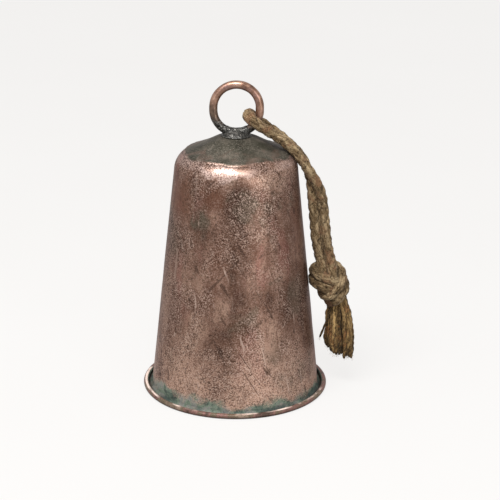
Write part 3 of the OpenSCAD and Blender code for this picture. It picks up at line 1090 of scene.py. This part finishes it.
def shell_path():
    """Middle line of the sheet, from the bead's free edge to the flange under the crown, in mm."""
    bead = arc(BEAD_X, BEAD_R, BEAD_R - HALF, -90 + BEAD_TURN, -90, 30)
    flat = np.linspace([BEAD_X, HALF], [COVE_X, HALF], 3)[1:-1]
    cove = arc(COVE_X, HALF + COVE_R, COVE_R, 270, 180 + LEAN, 12)
    shoulder = arc(SHOULDER_X, SHOULDER_Z, SHOULDER_MID, LEAN, SHOULDER_END, 20)
    wall = np.linspace(cove[-1], shoulder[0], 62)[1:-1]
    under_crown = CROWN_LIFT - CROWN_DROP - CLOSE - HALF * 1.08
    flange = [(x, crown_z(x) + under_crown) for x in (48.4, 46.7, 43.0)]
    return np.vstack([bead, flat, cove, wall, shoulder, flange])


def build_shell():
    outline = thicken(shell_path(), HALF)
    rows = revolve(outline, SHELL_SIDES)
    # Slow waves and shallow dents of hand work, faded out at the rim and under the crown
    a = angles(rows.shape[1])
    z = outline[:, 1:2]
    fade = smoothstep(7, 26, z) * (1 - smoothstep(226, 238, z))
    waves = (
        0.20 * np.sin(2 * a + 0.6 + z / 90)
        + 0.13 * np.sin(3 * a + 2.1 - z / 60)
        + 0.09 * np.sin(5 * a + z / 34)
        + 0.07 * np.sin(8 * a - z / 21 + 1.0)
    )
    dents = np.zeros(rows.shape[:2])
    spots = np.random.default_rng(5)
    for _ in range(DENTS):
        at, up = spots.uniform(0, TAU), spots.uniform(24, 225)
        wide, deep = spots.uniform(7, 20), spots.uniform(0.05, 0.22)
        across = (np.mod(a - at + math.pi, TAU) - math.pi)[None, :] * outline[:, :1]
        dents -= deep * np.exp(-(across**2 + (z - up) ** 2) / (2 * (wide / 2) ** 2))
    push = (waves * 0.75 + dents) * fade
    rows[..., 0] += np.cos(a) * push
    rows[..., 1] += np.sin(a) * push
    # A bead rolled by hand is never quite even
    bead = smoothstep(86.5, 89, outline[:, :1]) * (1 - smoothstep(4, 9, z))
    roll = 0.10 * np.sin(7 * a + 1.2) + 0.07 * np.sin(17 * a) + 0.05 * np.sin(29 * a + 0.7)
    rows[..., 2] += bead * np.maximum(roll, -0.02) * (z > 2.6)
    return ring_object("bell_shell_sheet", rows, PATINA)


def crown_outline():
    spans = (np.linspace(3, SEAT_R, 4), np.linspace(11.2, 15.4, 7), np.linspace(16.5, 48.2, 30))
    xs = np.concatenate([[0.6], *spans])
    top = [(x, crown_z(x) + CROWN_LIFT) for x in xs]
    end = crown_z(CROWN_R) + CROWN_LIFT
    lip = [(48.7, end - 0.02), (CROWN_R, end - 0.35), (CROWN_R, end - 0.8)]
    lip.append((48.7, end - CROWN_DROP + 0.02))
    low = [(x, z - CROWN_DROP) for x, z in reversed(top)]
    return np.array(top + lip + low)


def build_crown():
    outline = crown_outline()
    rows = revolve(outline, CROWN_SIDES)
    a = angles(rows.shape[1])
    r = outline[:, :1]
    fade = smoothstep(14, 22, r) * (1 - smoothstep(42, 47, r))
    lumps = 0.26 * np.sin(3 * a + r / 9) + 0.18 * np.sin(5 * a + 1.7 - r / 6)
    rows[..., 2] += (lumps + 0.12 * np.sin(9 * a + r / 4)) * fade
    return ring_object("crown_sheet", rows, PATINA)


def shoulder_top(x):
    """Height of the shoulder's outside at radius x."""
    return SHOULDER_Z + np.sqrt(SHOULDER_R**2 - (x - SHOULDER_X) ** 2)


def build_crown_braze():
    """A thin uneven fillet that runs the crown's edge into the shoulder."""
    a = angles(FILLET_SIDES)
    wide = 2.7 + 0.7 * np.sin(4 * a + 1) + 0.5 * np.sin(11 * a) + 0.3 * np.sin(23 * a + 2)
    lump = 0.08 * np.sin(31 * a) + 0.07 * np.sin(53 * a + 1)
    edge = crown_z(CROWN_R) + CROWN_LIFT
    rows = []
    for u, lift in ((-0.06, 0.06), (0.12, 0.12), (0.35, 0.16), (0.65, 0.12), (1.0, 0.0)):
        x = CROWN_R + wide * u
        share = smoothstep(-0.1, 0.6, u)
        base = edge * (1 - share) + shoulder_top(x) * share
        rows.append(turned(x, a, base + lift + lump * (1 - u)))
    for u in (0.9, 0.6, 0.3, -0.06):
        x = CROWN_R + wide * u
        rows.append(turned(x, a, shoulder_top(x) - 0.25))
    return ring_object("crown_braze_fillet", np.stack(rows), PATINA)


def ring_bend(degrees, side):
    """Points of the ring's middle line in its upper (side 1) or lower (side -1) bend, in mm."""
    a = np.radians(degrees)
    z = RING_Z + side * RING_STRAIGHT / 2 + RING_R * np.sin(a)
    return np.stack([RING_R * np.cos(a), 0 * a, z], 1)


def build_ring():
    ring = Builder()
    p = np.vstack([ring_bend(np.arange(0, 181, 2.0), 1), ring_bend(np.arange(180, 361, 2.0), -1)])
    sides = 28
    run = angles(len(p))[:, None]
    a = angles(sides)
    uneven = 0.010 * np.sin(9 * run + 2 * a) + 0.006 * np.sin(17 * run - 3 * a)
    r = RING_BAR * np.minimum(1 + 0.008 * np.sin(5 * run) + uneven, 1.012)
    ring.tube(p * MM, r * MM, sides, normal=(0, 1, 0), closed=True)
    return ring.object("ring_bar", RING_METAL)


def mesh_rows(rows, key):
    """One vector of each of a mesh's points, as an array."""
    out = np.empty(len(rows) * 3, np.float32)
    rows.foreach_get(key, out)
    return out.reshape(-1, 3).astype(float)


def build_ring_braze():
    """The brazed mound and the braze that has run up over the ring's foot."""
    floor = SEAT_Z + 0.5
    outline = [(0.4, floor), (6, floor), (10.4, floor), (12.5, SEAT_Z + 0.9)]
    outline += [(14.4, crown_z(14.4) + 0.45), (15.2, crown_z(15.2) + 0.55), (14.2, 257.6)]
    outline += [(12.6, 258.9), (10.6, 260.3), (8.4, 261.6), (6, 262.7), (3, 263.4), (0.4, 263.6)]
    rows = revolve(outline, 64)
    rows[..., 1] *= 0.86
    build = Builder()
    build.rings(rows)
    reach, steps = 33, 30
    p = ring_bend(np.linspace(270 - reach, 270 + reach, steps), -1)
    swell = 4.15 + 0.55 * np.cos(np.linspace(-math.pi / 2, math.pi / 2, steps)) ** 0.7
    build.tube(p * MM, swell * MM, 28, normal=(0, 1, 0))
    raw = make_object("ring_braze_mound", np.concatenate(build.verts), build.faces, BRAZE)
    fuse = raw.modifiers.new("fuse", "REMESH")
    fuse.mode = "VOXEL"
    fuse.voxel_size = 0.00045
    flow = raw.modifiers.new("flow", "SMOOTH")
    flow.factor = 0.6
    flow.iterations = 9
    view = bpy.context.evaluated_depsgraph_get()
    mesh = bpy.data.meshes.new_from_object(raw.evaluated_get(view))
    raw.modifiers.clear()
    raw.data = mesh
    co = mesh_rows(mesh.vertices, "co")
    lumps = wobble(co, 0.0032, 3, 3) * 0.00034 + wobble(co, 0.0011, 8, 2) * 0.00012
    co = co + mesh_rows(mesh.vertex_normals, "vector") * lumps[:, None]
    mesh.vertices.foreach_set("co", co.astype(np.float32).ravel())
    mesh.update()
    mesh.shade_smooth()
    return raw


shell_piece = build_shell()
crown_piece = build_crown()
crown_braze_piece = build_crown_braze()
ring_piece = build_ring()
ring_braze_piece = build_ring_braze()
for piece, node in (
    (shell_piece, "bell_shell"),
    (crown_piece, "crown_disc"),
    (crown_braze_piece, "crown_braze"),
    (ring_piece, "hanging_ring"),
    (ring_braze_piece, "ring_braze"),
):
    put_on(piece, node)


# ---------------------------------------------------------------- clapper, built to the CAD sizes
STAPLE_R, STAPLE_WIRE, STAPLE_Z = 9.0, 2.0, 236.0
STAPLE_TOP = SEAT_Z + CROWN_LIFT - CROWN_DROP - CLOSE
LOOP_PLAY = 0.3
LINK_R, LINK_WIRE, PIVOT_Z = 6.5, 1.6, 222.0
EYE_R, ROD_R, ROD_END = 6.5, 3.0, 17.5
BOB_R, BOB_Z, BOB_BORE, BOB_FLAT = 20.5, 48.0, 3.2, 7.0
NUT_AF, NUT_H, WASHER_R, WASHER_T = 10.0, 5.0, 6.25, 1.6
SEAT_GAP = 0.02
WIRE_SIDES = 24
LINK_TOP = STAPLE_Z + STAPLE_WIRE + LINK_WIRE + LOOP_PLAY
EYE_Z = PIVOT_Z + LINK_WIRE + ROD_R + LOOP_PLAY - EYE_R
BOB_HALF = math.sqrt(BOB_R**2 - BOB_FLAT**2)
NUT_OFF = BOB_HALF + 2 * SEAT_GAP + WASHER_T + NUT_H / 2


def build_staple():
    """Bent wire with slight draw marks and flattened, pinched bends."""
    staple = Builder()
    a = np.radians(np.linspace(180, 360, 61))
    bend = np.stack([STAPLE_R * np.cos(a), 0 * a, STAPLE_Z + STAPLE_R + STAPLE_R * np.sin(a)], 1)
    up = np.linspace(STAPLE_Z + STAPLE_R, STAPLE_TOP, 10)[1:]
    left = np.stack([0 * up - STAPLE_R, 0 * up, up[::-1]], 1)
    right = np.stack([0 * up + STAPLE_R, 0 * up, up], 1)
    path = np.vstack([left, bend, right])
    turn = angles(WIRE_SIDES)
    run = np.arange(len(path))[:, None]
    r = STAPLE_WIRE * (1 - 0.012 * np.sin(turn * 3 + run / 7) ** 2 - 0.008 * np.sin(run / 2.3) ** 2)
    staple.tube(path * MM, r * MM, WIRE_SIDES, normal=(0, 1, 0))
    return staple.object("staple_wire", WIRE)


# Outline of a braze collar: [distance out from the wire, height from the crown's underside], in mm
COLLAR = [
    (0.03, -2.4), (0.45, -2.15), (0.8, -1.75), (1.15, -1.15),
    (1.5, -0.6), (1.8, -0.2), (1.75, -0.05), (0.03, -0.05),
]


def build_staple_braze():
    """Two lumpy collars of braze where the staple's legs meet the crown."""
    braze = Builder()
    a = angles(60)
    for leg, x in enumerate((-STAPLE_R, STAPLE_R)):
        lump = 0.10 * np.sin(3 * a + leg) + 0.08 * np.sin(7 * a + 2 * leg) + 0.05 * np.sin(13 * a)
        rows = [turned(STAPLE_WIRE + out + lump * out * 0.55, a, STAPLE_TOP + z) for out, z in COLLAR]
        braze.rings(np.stack(rows) + np.array([x, 0, 0]))
    return braze.object("staple_braze_collars", BRAZE)


def build_link():
    """A closed wire link with the slight swelling of its butt weld on one side."""
    link = Builder()
    straight = (LINK_TOP - PIVOT_Z) / 2 - LINK_R
    mid = (LINK_TOP + PIVOT_Z) / 2
    a = np.radians(np.arange(0, 180, 4))
    bends = [
        np.stack([0 * a, side * LINK_R * np.cos(a), mid + side * (straight + LINK_R * np.sin(a))], 1)
        for side in (1, -1)
    ]
    path = np.vstack(bends)
    turn = angles(WIRE_SIDES)
    weld = np.exp(-(((path[:, 2] - mid) / 1.3) ** 2)) * (path[:, 1] > 0)
    r = LINK_WIRE * (1 - 0.012 * np.sin(turn * 2 + np.arange(len(path))[:, None] / 5) ** 2)
    r = r + (0.28 + 0.1 * np.sin(turn * 5)) * weld[:, None]
    link.tube(path * MM, r * MM, WIRE_SIDES, normal=(1, 0, 0), closed=True)
    return link.object("link_wire", WIRE)


def build_rod():
    """The rod: its end is bent round into an eye that butts on the shank. Its foot is threaded."""
    rod = Builder()
    lap = 6
    a = np.radians(np.linspace(-90 + lap, 270 - lap, 120))
    eye = np.stack([EYE_R * np.cos(a), 0 * a, EYE_Z + EYE_R * np.sin(a)], 1)
    eye_sides = 28
    r = ROD_R * (1 - 0.010 * np.sin(angles(eye_sides) * 2 + np.arange(len(eye))[:, None] / 9) ** 2)
    rod.tube(eye * MM, r * MM, eye_sides, normal=(0, 1, 0))
    # Shank, and below it the thread, a sharp ridge that winds at 1 mm a turn
    pitch, deep = 1.0, 0.42
    thread_top = BOB_Z + NUT_OFF + NUT_H / 2 + 7
    shank = np.linspace(thread_top, EYE_Z - EYE_R + 1, 60)
    z = np.concatenate([np.arange(ROD_END, thread_top, 0.125), shank])[:, None]
    b = angles(40)[None, :]
    cut = deep * (1 - np.abs(2 * ((z / pitch - b / TAU) % 1) - 1))
    fade = smoothstep(thread_top, thread_top - 2.5, z)
    tip = 0.8 * (1 - smoothstep(ROD_END, ROD_END + 1.0, z))
    skin = 0.02 * np.sin(3 * b + z / 13) + 0.012 * np.sin(z / 4.3 + 5 * b)
    verts = turned(ROD_R - 0.02 - cut * fade - tip + skin * (1 - fade), b, z)
    rod.add(verts * MM, tube_faces(len(z), b.size, rod.count))
    return rod.object("rod_eye", ROD_STEEL)


def build_bob():
    """Cast ball: sandy skin, a faint parting line, and dents where it strikes."""
    sides, rings = 180, 100
    edge = math.asin(BOB_FLAT / BOB_R)
    lat = np.linspace(math.pi - edge, edge, rings)
    outer = np.stack([BOB_R * np.sin(lat), BOB_R * np.cos(lat)], 1)
    top = [(6.4, BOB_HALF), (BOB_BORE + 0.5, BOB_HALF), (BOB_BORE, BOB_HALF - 0.5)]
    low = [(BOB_BORE, -BOB_HALF + 0.5), (BOB_BORE + 0.5, -BOB_HALF), (6.4, -BOB_HALF)]
    outline = np.vstack([outer, top, low])
    rows = revolve(outline, sides)
    flat = rows.reshape(-1, 3)
    skin = np.zeros(len(flat))
    on = np.arange(len(flat)) < rings * sides
    skin[on] = wobble(flat[on], 2.4, 2, 3) * 0.09 + wobble(flat[on], 11.0, 4, 2) * 0.10 - 0.14
    away = unit(flat)
    for sign in (-1, 1):
        hit = unit(np.array([sign * 1.0, 0.0, -0.12]))
        skin -= 0.16 * smoothstep(0.955, 0.995, away @ hit) * on
    skin += 0.12 * np.exp(-((flat[:, 1] / 0.5) ** 2)) * on * (np.abs(flat[:, 2]) < BOB_HALF - 1.5)
    skin = np.minimum(skin, 0.0)
    edge_fade = smoothstep(BOB_HALF, BOB_HALF - 1.2, np.abs(flat[:, 2]))
    flat = flat + away * (skin * edge_fade)[:, None] + np.array([0, 0, BOB_Z])
    return ring_object("bob_casting", flat.reshape(rows.shape), IRON)


def build_washers():
    """Two washers, each with one outer edge rounded by the punch."""
    washers = Builder()
    e = 0.22
    h = WASHER_T / 2
    outline = [
        (BOB_BORE, -h + e), (BOB_BORE + e, -h), (WASHER_R - 0.9, -h),
        (WASHER_R - e * 1.6, -h + 0.04), (WASHER_R, -h + e * 1.4), (WASHER_R, h - e),
        (WASHER_R - e, h), (BOB_BORE + e, h), (BOB_BORE, h - e),
    ]
    for sign in (-1, 1):
        mid = BOB_Z + sign * (BOB_HALF + SEAT_GAP + h)
        washers.rings(revolve([(r, z + mid) for r, z in outline], 96))
    return washers.object("bob_washer_pair", ZINC)


def build_nuts():
    """Hexagon nuts with turned chamfers and a countersunk, threaded bore."""
    nuts = Builder()
    a = angles(144)
    sixth = np.abs((a + math.pi / 6) % (math.pi / 3) - math.pi / 6)
    corner = NUT_AF / 2 / math.cos(math.pi / 6)
    hexagon = np.minimum(NUT_AF / 2 / np.cos(sixth), corner - 0.08)
    bore, sink = ROD_R + 0.03, 0.55
    face, chamfer = NUT_AF / 2 - 0.15, 0.62
    h = NUT_H / 2
    share = np.linspace(0, 1, 5)
    levels = [(np.minimum(hexagon, face + (corner - face) * k), -h + chamfer * k) for k in share]
    levels += [(np.minimum(hexagon, face + (corner - face) * k), h - chamfer * k) for k in share[::-1]]
    levels.append((bore + sink, h))
    for z in np.linspace(h - 0.5, -h + 0.5, 33):
        ridge = 0.30 * np.abs(2 * ((z - a / TAU) % 1) - 1)
        levels.append((bore + ridge * smoothstep(h, h - 0.8, abs(z)), z))
    levels.append((bore + sink, -h))
    for index, sign in enumerate((-1, 1)):
        mid = BOB_Z + sign * NUT_OFF
        nuts.rings(np.stack([turned(r, a + index * 0.4, z + mid) for r, z in levels]))
    obj = nuts.object("bob_nut_pair", ZINC)
    obj.data.set_sharp_from_angle(angle=math.radians(24))
    return obj


for piece, node, body in (
    (build_staple(), "clapper_staple", "bell"),
    (build_staple_braze(), "staple_braze", "bell"),
    (build_link(), "clapper_link", "link"),
    (build_rod(), "clapper_rod", "clapper"),
    (build_bob(), "clapper_bob", "clapper"),
    (build_washers(), "bob_washers", "clapper"),
    (build_nuts(), "bob_nuts", "clapper"),
):
    put_on(piece, node, body)


# ---------------------------------------------------------------- CAD node that stays
rim_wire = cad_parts["rim_wire"]
rim_wire.data.materials.clear()
rim_wire.data.materials.append(WIRE)


# ---------------------------------------------------------------- stage and light
WARM_WHITE = (1.0, 0.988, 0.975, 1)


def build_stage():
    s = Shader("pale_floor", roughness=1.0, Specular_IOR_Level=0.0)
    s.bsdf.inputs["Emission Color"].default_value = WARM_WHITE
    colour = s.mix(s.noise(3, 2, 0.5), (92, 91, 90), (98, 97, 96))
    seen = s.node("ShaderNodeLightPath").outputs["Is Camera Ray"]
    s.feed(s.bsdf.inputs["Emission Strength"], s.span(seen, 0, 1, 0.42, 0.80, False))
    size = 9
    corners = [(-size, -size, 0), (size, -size, 0), (size, size, 0), (-size, size, 0)]
    make_object("floor", corners, [[0, 1, 2, 3]], s.finish(colour))

    world = bpy.data.worlds.new("studio")
    bpy.context.scene.world = world
    world.use_nodes = True
    background = world.node_tree.nodes["Background"]
    background.inputs["Color"].default_value = WARM_WHITE
    background.inputs["Strength"].default_value = 0.70


def area_light(name, at, aim, size, power):
    data = bpy.data.lights.new(name, "AREA")
    data.shape = "RECTANGLE"
    data.size, data.size_y = size
    data.energy = power
    obj = bpy.data.objects.new(name, data)
    bpy.context.scene.collection.objects.link(obj)
    obj.location = at
    obj.rotation_euler = (Vector(aim) - Vector(at)).to_track_quat("-Z", "Y").to_euler()


build_stage()
area_light("top_box", (-0.30, -0.72, 1.45), (0, 0, 0.2), (1.15, 0.36), 24)
area_light("left_box", (-1.0, -1.5, 0.9), (0, 0, 0.15), (0.8, 1.2), 4)
area_light("front_strip", (0.82, -1.13, 0.42), (0, 0, 0.13), (0.52, 0.8), 4.6)
bpy.context.scene.view_settings.view_transform = "Standard"
